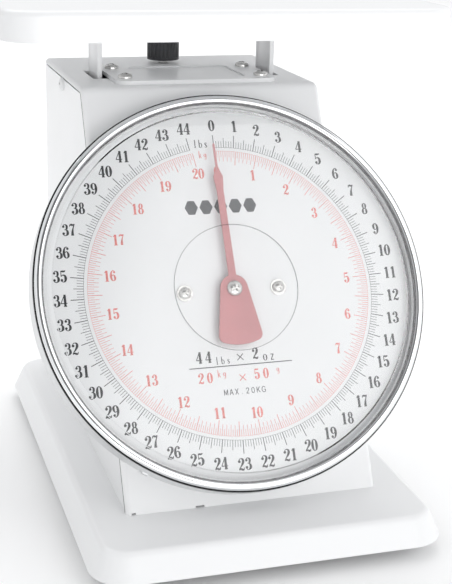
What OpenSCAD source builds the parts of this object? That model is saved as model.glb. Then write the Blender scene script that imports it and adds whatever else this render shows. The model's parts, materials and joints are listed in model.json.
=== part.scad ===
// Mechanical dial platform scale, spring and rack type, in millimetres.
// X runs to the right, Y to the back and Z up. The dial faces -Y and leans back.
// The origin is on the surface that the scale stands on, under the middle of its outline.

/* [Base] */
// Width of the base at its lower edge
base_w = 172; // [166:1:180]
// Depth of the base at its lower edge
base_d = 260; // [255:1:270]
// Height of the flat ledge of the base
ledge_z = 20; // [18:0.5:22]
// How far the skirt of the base leans in, from its lower edge to the ledge
skirt_lean = 6; // [3:0.5:8]
// Height of the rubber feet below the base
foot_h = 7; // [5:0.5:8]

/* [Case] */
// Width of the case
case_w = 126; // [124:1:132]
// Height of the case top
case_top = 204; // [202:1:208]
// Distance of the back of the case behind the origin
case_back = 102; // [100:1:108]
// Thickness of the case and base sheet
sheet = 1.2; // [1:0.1:1.4]

/* [Dial] */
// Angle by which the dial leans back from upright
tilt = 29.5; // [28:0.5:31]
// Height of the centre of the dial
dial_z = 112; // [110:1:114]
// Outer diameter of the bezel
bezel_d = 197.8; // [194:0.2:202]
// Distance of the printed dial in front of the face of the case
dial_gap = 5.4; // [5:0.1:6]
// Length of the pointer from its pivot to its tip
pointer_l = 74.4; // [70:0.2:78]
// Angle at which the unloaded pointer rests short of upright
pointer_rest = 1.1; // [0:0.1:3]

/* [Platform] */
// Width and depth of the platform
platform_w = 220; // [200:1:230]
// Height of the weighing surface
platform_top = 249; // [246:1:256]
// Depth of the rim of the platform
platform_rim = 14; // [10:1:16]

/* [Mechanism] */
// Number of teeth of the pinion
pinion_teeth = 12; // [12:1:14]
// Tooth module of the pinion and the rack
tooth_module = 0.6; // [0.6:0.05:0.65]
// Weight spring outer diameter
spring_d = 16.2; // [12:0.2:17]

/* [Hidden] */

$fn = 96;
gap = 0.3;
slack = 0.05;
white = "#ebecec";
steel = "#b9bcbe";

// Base
base_y = -18;
base_corner_r = 18;
base_edge_r = 4;
base_flange = 12;
foot_inset = 22;
foot_r = 9;
foot_neck_r = 4;

// Dial frame: its own X to the right, Y up the slope, Z out of the dial
dial_y = -62;
bezel_r = bezel_d / 2;
dial_face_t = 0.6;
dial_pan_t = 0.8;
bezel_t = 0.8;
lens_top = 9.6;
lens_t = 1.5;
lens_ring_r = 31.2;
dial_screw_x = 24;

// Case
lip = 3;
bend_r = 6;
face_y = dial_y + dial_gap * cos(tilt);
face_z = dial_z - dial_gap * sin(tilt);
bend_z = case_top - bend_r;
bend_y = face_y + (bend_z - face_z) * tan(tilt) + bend_r / cos(tilt);
side_x = case_w / 2;
slot_y0 = 24;
slot_y1 = 52;
slot_x0 = 41;
slot_x1 = 51;
side_screw_y = 46.6;
back_flange = 12;
back_screw_x = side_x - 8;
back_screw_z = [36, 184];

// Plate on the case top
plate_w = 86;
plate_y0 = 1.7;
plate_y1 = 57.5;
plate_t = 2;
plate_screw_x = 36.7;
plate_screw_y = [13, 46];

// Carriage: all that rises and falls with the load
carriage_y = 38;
upright_x = 46;
upright_t = 2.5;
upright_d = 24;
upright_z0 = 98;
bracket_t = 2;
bracket_z = platform_top - 1 - bracket_t;
bracket_w = 130;
bracket_d = 90;
bracket_flange = 14;
crossbar_z = 100;
crossbar_t = 2.5;
crossbar_flange = 14;
spring_x = 22;
platform_screw = [45, 32];

// Travel: a full turn of the pointer takes the rack down the slope, and the carriage down
full_turn = 350.73;
pitch_r = pinion_teeth * tooth_module / 2;
rack_travel = pitch_r * full_turn * PI / 180;
travel = rack_travel * cos(tilt);

// Chassis and spring hanger
chassis_w = 86;
chassis_t = 2;
chassis_y = 96;
chassis_flange = 18;
chassis_top = 196;
hanger_z = 188;
hanger_w = 72;
hanger_y0 = 28;
hanger_drop = 12;
hanger_screw_x = 20;
hanger_screw_z = 176;
spring_hole_r = 3.2;

// Parallel stays that keep the platform level
stay_x = 38;
stay_t = 2;
stay_rear_y = 88;
stay_front_y = 46;
stay_reach = stay_rear_y - stay_front_y;
stay_length = sqrt(stay_reach * stay_reach + travel * travel / 4);
stay_angle = atan2(travel / 2, stay_reach);
stay_pin_r = 2;
upper_front_z = 166;
lower_front_z = 124;

// Zero adjuster
zero_y = 78;
zero_screw_r = 2.5;
knob_r = 9;
knob_z = case_top + 2;
knob_h = 10;

// Movement, in the dial frame
plate_half = [32, 18];
movement_t = 1.6;
front_plate_z = -dial_gap - sheet - movement_t;
back_plate_z = -19.6;
pillar = [27, 13];
pinion_z = -15;
pinion_h = 5;
rack_z = -14.5;
rack_h = 4;
arbor_r = 1.5;
bush_r = 3.2;
pointer_z = 4;
pointer_t = 0.8;
rack_back = pitch_r + 5.4;
rack_tail = -20;
rack_head = 44;
guide_y = [-11, 13];

// The pin that drives the rack, and the level slot in the rack's foot that it slides in
drive_y = -22;
drive_z = 149;
drive_pin_r = 1.5;
drive_slot = rack_travel * sin(tilt);
drive_arm_x = 10.5;
drive_arm_t = 2;

// Points on an arc about (x, y), from angle a0 to a1 in n steps
function arc(x, y, r, a0, a1, n = 8) =
    [for (i = [0:n]) [x + r * cos(a0 + (a1 - a0) * i / n), y + r * sin(a0 + (a1 - a0) * i / n)]];

function mirrored(points) = [for (i = [len(points) - 1:-1:0]) [-points[i][0], points[i][1]]];

// Places children in the dial frame
module on_dial() {
    translate([0, dial_y, dial_z]) rotate([90 - tilt, 0, 0]) children();
}

// Turns a shape drawn in (y, z) and raised along its own Z so that it is raised along X
module along_x(x) {
    translate([x, 0, 0]) rotate([90, 0, 90]) children();
}

module both_sides() {
    children();
    mirror([1, 0, 0]) children();
}

module rounded_plate(w, d, t, r) {
    linear_extrude(t) {
        square([w - 2 * r, d], center = true);
        square([w, d - 2 * r], center = true);
        for (x = [-1, 1], y = [-1, 1]) {
            translate([x * (w / 2 - r), y * (d / 2 - r)]) circle(r);
        }
    }
}

// Pan-head screw along Z with its head on top of z = 0 and a cross recess
module pan_screw(head_r, head_h, shank_r, shank_l) {
    rim = head_h * 0.3;
    difference() {
        union() {
            rotate_extrude() polygon(concat([[0, 0]],
                [for (a = [0:15:90]) [head_r * cos(a), rim + (head_h - rim) * sin(a)]]));
            rotate_extrude() square([head_r, rim]);
            translate([0, 0, -shank_l]) cylinder(r = shank_r, h = shank_l + rim / 2);
        }
        for (turn = [0, 90]) {
            rotate([0, 0, 20 + turn]) translate([-head_r * 0.55, -head_r * 0.13, head_h * 0.4])
                cube([head_r * 1.1, head_r * 0.26, head_h]);
        }
    }
}

// Half of a pressed pan's wall, drawn outward from the centre of its corner arc
module pan_wall(corner_r, z0, z1, lean, edge_r, t, flange) {
    slope = atan2(lean, z1 - z0);
    reach = corner_r - lean - edge_r * tan((90 - slope) / 2);
    inner_x = corner_r - lean * t / (z1 - z0) - t / cos(slope);
    polygon(concat(
        [[0, z1]],
        arc(reach, z1 - edge_r, edge_r, 90, slope, 6),
        [[corner_r, z0], [corner_r - flange, z0], [corner_r - flange, z0 + t], [inner_x, z0 + t]],
        arc(reach, z1 - edge_r, edge_r - t, slope, 90, 6),
        [[0, z1 - t]]
    ));
}

// Sheet pan, open below, with rounded corners and an in-turned lower flange
module pressed_pan(w, d, corner_r, z0, z1, lean, edge_r, t, flange) {
    half_w = w / 2 - corner_r;
    half_d = d / 2 - corner_r;
    module wall() pan_wall(corner_r, z0, z1, lean, edge_r, t, flange);
    translate([-half_w, -half_d, z1 - t]) cube([2 * half_w, 2 * half_d, t]);
    for (side = [0, 180]) {
        rotate([0, 0, side]) {
            translate([half_w, half_d, 0]) rotate([90, 0, 0]) linear_extrude(2 * half_d) wall();
            translate([-half_w, half_d, 0]) rotate([90, 0, 90]) linear_extrude(2 * half_w) wall();
            translate([half_w, half_d, 0]) rotate_extrude(angle = 90) wall();
            translate([-half_w, half_d, 0]) rotate([0, 0, 90]) rotate_extrude(angle = 90) wall();
        }
    }
}

module foot_places() {
    for (x = [-1, 1], y = [-1, 1]) {
        translate([x * (base_w / 2 - foot_inset), base_y + y * (base_d / 2 - foot_inset), 0])
            children();
    }
}

module chassis_screw_places() {
    for (x = [-30, 30], y = [66, 84]) translate([x, y, 0]) children();
}

module base_pan() {
    color(white) difference() {
        union() {
            translate([0, base_y, 0]) pressed_pan(base_w, base_d, base_corner_r, foot_h, ledge_z,
                skirt_lean, base_edge_r, sheet, base_flange);
            foot_places() translate([0, 0, foot_h]) cylinder(r = 12, h = sheet);
        }
        foot_places() cylinder(r = foot_neck_r + slack, h = ledge_z - 2 * sheet);
        chassis_screw_places() cylinder(r = 2.2, h = 2 * ledge_z);
    }
}

module rubber_feet() {
    top = foot_h + sheet;
    color("#2b2b2c") foot_places() rotate_extrude() polygon(concat(
        [[0, 0]],
        arc(foot_r - 1, 1, 1, -90, 0, 4),
        [[foot_r, foot_h], [foot_neck_r, foot_h], [foot_neck_r, top], [foot_neck_r + 1.6, top],
         [foot_neck_r - 0.6, top + 3.5], [0, top + 3.5]]
    ));
}

// Where the sloped face of the case is at height z, and how far a layer is set back from it
function face_at(z, depth = 0) = face_y + (z - face_z) * tan(tilt) + depth / cos(tilt);

// Side view of the bent front and top sheet, to a depth below its outer surface
module wrap_profile(depth) {
    polygon(concat(
        [[face_at(ledge_z), ledge_z]],
        arc(bend_y, bend_z, bend_r, 180 - tilt, 90, 10),
        [[case_back, case_top], [case_back, case_top - depth]],
        arc(bend_y, bend_z, bend_r - depth, 90, 180 - tilt, 10),
        [[face_at(ledge_z, depth), ledge_z]]
    ));
}

// Front and top in one bent sheet, with a short lip down each side
module case_wrap() {
    color(white) difference() {
        union() {
            along_x(-side_x) linear_extrude(case_w) wrap_profile(sheet);
            both_sides() along_x(-side_x) linear_extrude(sheet) wrap_profile(lip);
        }
        for (notch = [[-60.5, 2], [-29.5, 4.5]]) translate([notch[0], -2 * case_w, ledge_z])
            cube([notch[1], 2 * case_w, 0.8]);
        on_dial() {
            translate([0, 0, -dial_gap - 4]) cylinder(r = 10, h = 8);
            for (x = [-1, 1]) translate([x * dial_screw_x, 0, -dial_gap - 4])
                cylinder(r = 1.7, h = 8);
        }
        both_sides() {
            translate([slot_x0, slot_y0, case_top - 2 * sheet])
                cube([slot_x1 - slot_x0, slot_y1 - slot_y0, 4 * sheet]);
            for (y = plate_screw_y) translate([plate_screw_x, y, case_top - 4])
                cylinder(r = 1.8, h = 8);
        }
        translate([0, zero_y, case_top - 4]) cylinder(r = zero_screw_r + 0.5, h = 8);
    }
}

// Left side sheet, with the flange that the back cover is screwed to
module side_panel() {
    front = lip + gap;
    z_high = case_top - lip - gap;
    flange_y = case_back - 2 * sheet;
    difference() {
        union() {
            along_x(-side_x) linear_extrude(sheet) polygon([[face_at(ledge_z, front), ledge_z],
                [face_at(z_high, front), z_high], [case_back, z_high], [case_back, ledge_z]]);
            translate([-side_x, flange_y, ledge_z])
                cube([back_flange + sheet, sheet, z_high - ledge_z]);
        }
        translate([-side_x - 5, side_screw_y, case_top - 6]) rotate([0, 90, 0])
            cylinder(r = 1.6, h = 10);
        for (z = back_screw_z) translate([-back_screw_x, case_back - 5, z]) rotate([-90, 0, 0])
            cylinder(r = 1.6, h = 10);
    }
}

module side_panel_left() {
    color(white) side_panel();
}

module side_panel_right() {
    color(white) mirror([1, 0, 0]) side_panel();
}

module side_screws() {
    color(white) both_sides() translate([-side_x, side_screw_y, case_top - 6])
        rotate([0, -90, 0]) pan_screw(3.5, 2.2, 1.5, 5);
}

module back_cover() {
    half = side_x - sheet - gap;
    color(white) difference() {
        translate([-half, case_back - sheet, ledge_z])
            cube([2 * half, sheet, case_top - sheet - gap - ledge_z]);
        for (x = [-1, 1], z = back_screw_z) translate([x * back_screw_x, case_back - 5, z])
            rotate([-90, 0, 0]) cylinder(r = 1.7, h = 10);
    }
}

module back_screws() {
    color(steel) for (x = [-1, 1], z = back_screw_z) {
        translate([x * back_screw_x, case_back, z]) rotate([-90, 0, 0]) pan_screw(3.5, 2.2, 1.5, 6);
    }
}

module plate_screw_places() {
    for (x = [-1, 1], y = plate_screw_y) {
        translate([x * plate_screw_x, y, case_top + plate_t]) children();
    }
}

// Flat plate on the case top between the uprights, with a sunk middle
module top_plate() {
    middle = (plate_y0 + plate_y1) / 2;
    depth = plate_y1 - plate_y0;
    color(white) difference() {
        translate([0, middle, case_top]) rounded_plate(plate_w, depth, plate_t, 6);
        translate([0, middle, case_top + plate_t - 0.8]) rounded_plate(56, depth - 14, 2, 5);
        plate_screw_places() translate([0, 0, -4]) cylinder(r = 1.8, h = 8);
    }
}

module top_plate_screws() {
    color(steel) plate_screw_places() pan_screw(3.75, 2.5, 1.6, 6);
}

module hanger_screw_places() {
    for (x = [-1, 1]) {
        translate([x * hanger_screw_x, chassis_y, hanger_screw_z]) rotate([-90, 0, 0]) children();
    }
}

// Upright channel at the back of the case that carries the springs and the stays
module chassis() {
    half = chassis_w / 2;
    height = chassis_top - ledge_z;
    color(steel) difference() {
        union() {
            translate([-half, chassis_y - chassis_t, ledge_z]) cube([chassis_w, chassis_t, height]);
            both_sides() translate([half - chassis_t, chassis_y - chassis_flange, ledge_z])
                cube([chassis_t, chassis_flange, height]);
            translate([-half, chassis_y - 38, ledge_z]) cube([chassis_w, 38, chassis_t]);
        }
        for (z = [upper_front_z, lower_front_z]) {
            translate([-half - 5, stay_rear_y, z - travel / 2]) rotate([0, 90, 0])
                cylinder(r = stay_pin_r + slack, h = chassis_w + 10);
        }
        hanger_screw_places() translate([0, 0, -5]) cylinder(r = 1.8, h = 10);
        chassis_screw_places() cylinder(r = 2.2, h = 2 * ledge_z);
    }
}

module chassis_screws() {
    color(steel) chassis_screw_places() translate([0, 0, ledge_z - sheet]) rotate([180, 0, 0])
        pan_screw(3.8, 2.4, 2, 6.5);
}

module stay_pivot_pins() {
    color(steel) for (z = [upper_front_z, lower_front_z]) {
        translate([-chassis_w / 2 - 2, stay_rear_y, z - travel / 2]) rotate([0, 90, 0])
            cylinder(r = stay_pin_r, h = chassis_w + 4);
    }
}

// Shelf that the two weight springs hang from
module spring_hanger() {
    back = chassis_y - chassis_t;
    color(steel) difference() {
        union() {
            translate([-hanger_w / 2, hanger_y0, hanger_z])
                cube([hanger_w, back - hanger_y0, chassis_t]);
            both_sides() translate([hanger_w / 2 - chassis_t, hanger_y0, hanger_z - hanger_drop])
                cube([chassis_t, back - hanger_y0, hanger_drop]);
            translate([-hanger_w / 2, back - chassis_t, hanger_z - 20])
                cube([hanger_w, chassis_t, 20]);
        }
        for (x = [-1, 1]) translate([x * spring_x, carriage_y, hanger_z - 5])
            cylinder(r = spring_hole_r, h = 10);
        translate([0, zero_y, hanger_z - 5]) cylinder(r = zero_screw_r + 0.3, h = 10);
        hanger_screw_places() translate([0, 0, -8]) cylinder(r = 1.8, h = 12);
    }
}

module hanger_screws() {
    color(steel) hanger_screw_places() pan_screw(3.2, 2.2, 1.6, 6);
}

module zero_nut() {
    color(steel) translate([0, zero_y, hanger_z + chassis_t]) difference() {
        cylinder(r = 4.6, h = 4, $fn = 6);
        translate([0, 0, -1]) cylinder(r = zero_screw_r + slack, h = 8);
    }
}

// Pressed dish behind the dial
module dial_pan() {
    rim_r = bezel_r - 4;
    floor_z = -dial_face_t - dial_pan_t;
    color(white) on_dial() difference() {
        union() {
            translate([0, 0, floor_z]) cylinder(r = rim_r, h = dial_pan_t);
            translate([0, 0, -dial_gap]) cylinder(r = rim_r, h = dial_gap + 5.7);
        }
        translate([0, 0, -dial_face_t]) cylinder(r = rim_r - dial_pan_t, h = 12);
        translate([0, 0, -dial_gap - 1])
            cylinder(r = rim_r - dial_pan_t, h = dial_gap + 1 + floor_z);
        translate([0, 0, -3]) cylinder(r = 4, h = 6);
        for (x = [-1, 1]) translate([x * dial_screw_x, 0, -3]) cylinder(r = 1.7, h = 6);
    }
}

module dial_face() {
    color("#f4f6f6") on_dial() difference() {
        translate([0, 0, -dial_face_t]) cylinder(r = bezel_r - 5, h = dial_face_t);
        translate([0, 0, -3]) cylinder(r = 3, h = 6);
        for (x = [-1, 1]) translate([x * dial_screw_x, 0, -3]) cylinder(r = 1.7, h = 6);
    }
}

// Screws with washers that hold the dial and the movement to the case
module dial_screws() {
    color(steel) on_dial() for (x = [-1, 1]) translate([x * dial_screw_x, 0, 0]) {
        translate([0, 0, 0.6]) pan_screw(3, 2.1, 1.5, 8.8);
        rotate_extrude() translate([1.5, 0]) square([2.5, 0.7]);
    }
}

// Polished ring in section: a straight wall, a seam, and a wide roll that holds the window.
// A small tab closes the wall at the lower left.
module bezel() {
    tab = [3, 1, 2.6];
    tab_turn = 212;
    wall_top = 7.4;
    shoulder_r = bezel_r - 0.6;
    shoulder_z = 7.8;
    roll_r = bezel_r - 2.85;
    roll_z = 8;
    roll_w = 2.1;
    roll_h = 1.5;
    holder_r = bezel_r - 5.2;
    roll = [for (a = [0:15:180]) [roll_r + roll_w * cos(a), roll_z + roll_h * sin(a)]];
    outer = concat([[bezel_r, -dial_gap], [bezel_r, wall_top], [bezel_r - 0.3, shoulder_z + 0.25],
        [shoulder_r, shoulder_z]], roll);
    inner = [[holder_r, wall_top], [bezel_r - bezel_t, wall_top], [bezel_r - bezel_t, -dial_gap]];
    color("#d6d8da") on_dial() {
        rotate_extrude($fn = 180) polygon(concat(outer, inner));
        rotate([0, 0, -tab_turn]) translate([-tab[0] / 2, bezel_r - 0.3, -dial_gap]) cube(tab);
    }
}

// Clear window with a flat middle and a sloping edge that the bezel holds
module lens() {
    flat_r = 90;
    edge_r = 93;
    out_r = bezel_r - bezel_t - 0.6;
    edge_z = 7.3;
    color([0.9, 0.95, 0.97, 0.3]) on_dial() difference() {
        rotate_extrude($fn = 180) polygon([
            [0, lens_top], [flat_r, lens_top], [edge_r, edge_z], [out_r - 1, edge_z],
            [out_r - 1, edge_z - lens_t], [edge_r - 0.6, edge_z - lens_t],
            [flat_r - 0.6, lens_top - lens_t], [0, lens_top - lens_t]]);
        rotate_extrude() translate([lens_ring_r - 0.2, lens_top - 0.2]) square([0.4, 1]);
    }
}

module pillar_places(z) {
    for (x = [-1, 1], y = [-1, 1]) translate([x * pillar[0], y * pillar[1], z]) children();
}

module movement_plate(z) {
    difference() {
        translate([0, 0, z]) rounded_plate(2 * plate_half[0], 2 * plate_half[1], movement_t, 4);
        translate([0, 0, z - 1]) cylinder(r = bush_r - 0.8 + slack, h = movement_t + 2);
        pillar_places(z - 1) cylinder(r = 1.3, h = movement_t + 2);
    }
}

module movement_front_plate() {
    color(steel) on_dial() difference() {
        movement_plate(front_plate_z);
        for (x = [-1, 1]) translate([x * dial_screw_x, 0, front_plate_z - 1])
            cylinder(r = 1.5 + slack, h = movement_t + 2);
    }
}

module movement_back_plate() {
    color(steel) on_dial() movement_plate(back_plate_z);
}

module movement_pillars() {
    low = back_plate_z + movement_t;
    color("#c8a860") on_dial() pillar_places(low) difference() {
        cylinder(r = 2.6, h = front_plate_z - low);
        translate([0, 0, -1]) cylinder(r = 1.2 + slack, h = front_plate_z - low + 2);
    }
}

module movement_screws() {
    color(steel) on_dial() pillar_places(back_plate_z) rotate([180, 0, 0])
        pan_screw(2.4, 1.6, 1.2, 12.6);
}

// Channels that hold the rack in mesh with the pinion
module rack_guides() {
    low = back_plate_z + movement_t;
    height = front_plate_z - low;
    color("#e7e4da") on_dial() for (y = guide_y) difference() {
        translate([rack_back - 3, y - 3, low]) cube([8, 6, height]);
        translate([rack_back - 5, y - 4, rack_z - 0.1]) cube([5.1, 8, rack_h + 0.2]);
    }
}

module arbor_bushes() {
    color("#c8a860") on_dial() for (z = [front_plate_z, back_plate_z]) difference() {
        up = z == back_plate_z ? -1 : movement_t;
        union() {
            translate([0, 0, z]) cylinder(r = bush_r - 0.8, h = movement_t);
            translate([0, 0, z + up]) cylinder(r = bush_r, h = 1);
        }
        translate([0, 0, z - 2]) cylinder(r = arbor_r + slack, h = movement_t + 4);
    }
}

module upright_screws_at(x, zs, reach) {
    for (z = zs, y = [-6, 6]) {
        translate([x, carriage_y + y, z]) rotate([0, 90, 0]) pan_screw(3, 1.8, 1.5, reach);
    }
}

crossbar_screw_z = crossbar_z + 9;
bracket_screw_z = bracket_z - 8;

// Left strip that joins the crossbar inside the case to the bracket under the platform
module upright() {
    difference() {
        translate([-upright_x - upright_t, carriage_y - upright_d / 2, upright_z0])
            cube([upright_t, upright_d, bracket_z - upright_z0]);
        for (z = [crossbar_screw_z, bracket_screw_z], y = [-6, 6]) {
            translate([-upright_x - 5, carriage_y + y, z]) rotate([0, 90, 0])
                cylinder(r = 1.6, h = 8);
        }
        for (z = [upper_front_z, lower_front_z]) {
            translate([-upright_x - 5, stay_front_y, z]) rotate([0, 90, 0])
                cylinder(r = stay_pin_r + slack, h = 8);
        }
    }
}

module left_upright() {
    color(white) upright();
}

module right_upright() {
    color(white) mirror([1, 0, 0]) upright();
}

module lower_crossbar() {
    color(steel) difference() {
        union() {
            translate([-upright_x, carriage_y - 10, crossbar_z])
                cube([2 * upright_x, 20, crossbar_t]);
            both_sides() translate([upright_x - chassis_t, carriage_y - 10, crossbar_z])
                cube([chassis_t, 20, crossbar_flange]);
        }
        for (x = [-1, 1]) translate([x * spring_x, carriage_y, crossbar_z - 5])
            cylinder(r = spring_hole_r, h = 10);
        both_sides() for (y = [-6, 6]) {
            translate([upright_x - 5, carriage_y + y, crossbar_screw_z]) rotate([0, 90, 0])
                cylinder(r = 1.6, h = 8);
        }
        for (y = [-6, 6]) translate([7, carriage_y + y, crossbar_z - 5]) cylinder(r = 1.5, h = 10);
    }
}

module crossbar_screws() {
    color(steel) both_sides() upright_screws_at(upright_x + upright_t, [crossbar_screw_z], 6);
}

// Short pins that the front ends of the stays turn on
module carriage_pins() {
    color(steel) both_sides() for (z = [upper_front_z, lower_front_z]) {
        translate([-upright_x - upright_t - 1, stay_front_y, z]) rotate([0, 90, 0])
            cylinder(r = stay_pin_r, h = upright_x + upright_t + 1 - stay_x + 1);
    }
}

// Cranked arm from the crossbar forward to the rack
module drive_arm() {
    floor_z = crossbar_z + crossbar_t;
    color(steel) difference() {
        union() {
            along_x(drive_arm_x) linear_extrude(drive_arm_t) polygon([
                [28, floor_z], [48, floor_z], [48, floor_z + 10], [10, drive_z + 2],
                [drive_y + 4, drive_z + 6], [drive_y - 5, drive_z + 6],
                [drive_y - 5, drive_z - 6], [0, drive_z - 10], [28, floor_z + 12]]);
            translate([2, 28, floor_z]) cube([drive_arm_x - 1, 20, drive_arm_t]);
        }
        translate([0, drive_y, drive_z]) rotate([0, 90, 0])
            cylinder(r = drive_pin_r + slack, h = 20);
        for (y = [-6, 6]) translate([7, carriage_y + y, floor_z - 2]) cylinder(r = 1.6, h = 8);
    }
}

module drive_arm_screws() {
    color(steel) for (y = [-6, 6]) {
        translate([7, carriage_y + y, crossbar_z + crossbar_t + drive_arm_t])
            pan_screw(2.6, 1.8, 1.4, 6);
    }
}

module drive_pin() {
    color(steel) translate([3, drive_y, drive_z]) rotate([0, 90, 0]) {
        cylinder(r = drive_pin_r, h = drive_arm_x + drive_arm_t - 3);
        translate([0, 0, drive_arm_x + drive_arm_t - 3]) cylinder(r = 2.6, h = 1.2);
    }
}

module platform_screw_places() {
    for (x = [-1, 1], y = [-1, 1]) {
        translate([x * platform_screw[0], carriage_y + y * platform_screw[1], platform_top])
            children();
    }
}

module platform_bracket() {
    outer_x = upright_x + upright_t;
    color(white) difference() {
        union() {
            translate([0, carriage_y, bracket_z])
                rounded_plate(bracket_w, bracket_d, bracket_t, 6);
            both_sides() translate([outer_x, carriage_y - upright_d / 2, bracket_z - bracket_flange])
                cube([bracket_t, upright_d, bracket_flange]);
        }
        both_sides() for (y = [-6, 6]) {
            translate([outer_x - 2, carriage_y + y, bracket_screw_z]) rotate([0, 90, 0])
                cylinder(r = 1.6, h = 8);
        }
        platform_screw_places() translate([0, 0, -8]) cylinder(r = 1.8, h = 10);
    }
}

module bracket_screws() {
    color(steel) both_sides()
        upright_screws_at(upright_x + upright_t + bracket_t, [bracket_screw_z], 6);
}

module platform() {
    color(white) difference() {
        translate([0, carriage_y, 0]) pressed_pan(platform_w, platform_w, 18,
            platform_top - platform_rim, platform_top, 0, 3, 1, 5);
        platform_screw_places() {
            translate([0, 0, -3]) cylinder(r = 1.8, h = 6);
            translate([0, 0, -1.01]) cylinder(r1 = 1.8, r2 = 3.3, h = 1.02);
        }
    }
}

module platform_screws() {
    color(steel) platform_screw_places() difference() {
        union() {
            translate([0, 0, -1]) cylinder(r1 = 1.7, r2 = 3.1, h = 0.95);
            translate([0, 0, -7]) cylinder(r = 1.6, h = 6.5);
        }
        for (turn = [0, 90]) rotate([0, 0, turn]) translate([-1.6, -0.4, -0.8]) cube([3.2, 0.8, 2]);
    }
}

// Plain envelope of a weight spring, with a rod and a crosspiece for each end hook
module weight_spring(x) {
    low = crossbar_z - 1.3;
    high = hanger_z + chassis_t + 1.3;
    coil_z0 = crossbar_z + 15;
    coil_z1 = hanger_z - 13;
    color("#8f9296") translate([x, carriage_y, 0]) {
        translate([0, 0, coil_z0]) cylinder(r = spring_d / 2, h = coil_z1 - coil_z0);
        translate([0, 0, low]) cylinder(r = 1.1, h = high - low);
        for (z = [low, high]) translate([-5, 0, z]) rotate([0, 90, 0]) cylinder(r = 1.1, h = 10);
    }
}

module left_spring() {
    weight_spring(-spring_x);
}

module right_spring() {
    weight_spring(spring_x);
}

module arbor() {
    color(steel) on_dial() difference() {
        union() {
            translate([0, 0, back_plate_z - 2.5])
                cylinder(r = arbor_r, h = pointer_z + 2.5 - back_plate_z);
            translate([0, 0, 2.2]) cylinder(r = 2.6, h = pointer_z - 2.2);
        }
        translate([0, 0, pointer_z - 5]) cylinder(r = 1 + slack, h = 10);
    }
}

// Pinion turned so that one of its gaps faces the rack
module pinion() {
    root_r = pitch_r - 1.2 * tooth_module;
    tip_r = pitch_r + 0.9 * tooth_module;
    color("#c8a860") on_dial() translate([0, 0, pinion_z]) rotate([0, 0, 180 / pinion_teeth])
        difference() {
            linear_extrude(pinion_h) {
                circle(root_r);
                for (i = [0:pinion_teeth - 1]) rotate(i * 360 / pinion_teeth) polygon([
                    [root_r - 0.3, -0.55], [pitch_r, -0.42], [tip_r, -0.14],
                    [tip_r, 0.14], [pitch_r, 0.42], [root_r - 0.3, 0.55]]);
            }
            translate([0, 0, -1]) cylinder(r = arbor_r + 0.02, h = pinion_h + 2);
        }
}

// Outline of the pointer, pointing along +Y
module pointer_outline() {
    hub_r = 7;
    foot_r = 3.5;
    foot_x = 7.5;
    foot_y = -23;
    bottom_r = 26;
    side = atan2(foot_y, foot_x) + acos((hub_r - foot_r) / sqrt(foot_x * foot_x + foot_y * foot_y));
    centre_y = foot_y + sqrt(pow(bottom_r - foot_r, 2) - foot_x * foot_x);
    foot_end = atan2(foot_y - centre_y, foot_x);
    shaft_half = 1.9;
    right = concat(
        [[0.2, pointer_l], [0.5, pointer_l - 1], [0.55, 61.5], [2.45, 57], [1.7, 50]],
        arc(0, 0, hub_r, acos(shaft_half / hub_r), side, 8),
        arc(foot_x, foot_y, foot_r, side, foot_end, 8),
        arc(0, centre_y, bottom_r, foot_end, -90, 3)
    );
    polygon(concat(right, mirrored(right)));
}

module pointer() {
    color("#a8474f") on_dial() rotate([0, 0, pointer_rest]) difference() {
        translate([0, 0, pointer_z]) linear_extrude(pointer_t) pointer_outline();
        translate([0, 0, pointer_z - 1]) cylinder(r = 1.2, h = 4);
    }
}

module pointer_screw() {
    color(steel) on_dial() translate([0, 0, pointer_z + pointer_t]) pan_screw(3.9, 2.4, 1, 5);
}

// Toothed bar beside the pinion, with a foot at its upper end for the driving pin
module rack() {
    pitch = PI * tooth_module;
    tip_x = pitch_r - 0.9 * tooth_module;
    root_x = pitch_r + 1.2 * tooth_module;
    first = -3;
    last = ceil(rack_travel / pitch) + 3;
    foot_x = rack_back - 3.6;
    color(steel) difference() {
        union() {
            on_dial() {
                translate([root_x, rack_tail, rack_z])
                    cube([rack_back - root_x, rack_head - rack_tail, rack_h]);
                for (i = [first:last]) translate([0, i * pitch, rack_z])
                    linear_extrude(rack_h) polygon([
                        [root_x + 0.2, -0.62], [pitch_r, -0.42], [tip_x, -0.16],
                        [tip_x, 0.16], [pitch_r, 0.42], [root_x + 0.2, 0.62]]);
            }
            along_x(foot_x) linear_extrude(3.6) polygon([
                [drive_y - 12, drive_z - 13], [drive_y - 4, drive_z - 5],
                [drive_y + drive_slot + 4, drive_z - 5], [drive_y + drive_slot + 4, drive_z + 4],
                [drive_y - 6, drive_z + 4], [drive_y - 12, drive_z - 7]]);
        }
        along_x(foot_x - 1) linear_extrude(8) {
            for (y = [-0.15, drive_slot + 0.15]) translate([drive_y + y, drive_z])
                circle(drive_pin_r + 0.08);
            translate([drive_y - 0.15, drive_z - drive_pin_r - 0.08])
                square([drive_slot + 0.3, 2 * drive_pin_r + 0.16]);
        }
    }
}

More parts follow.
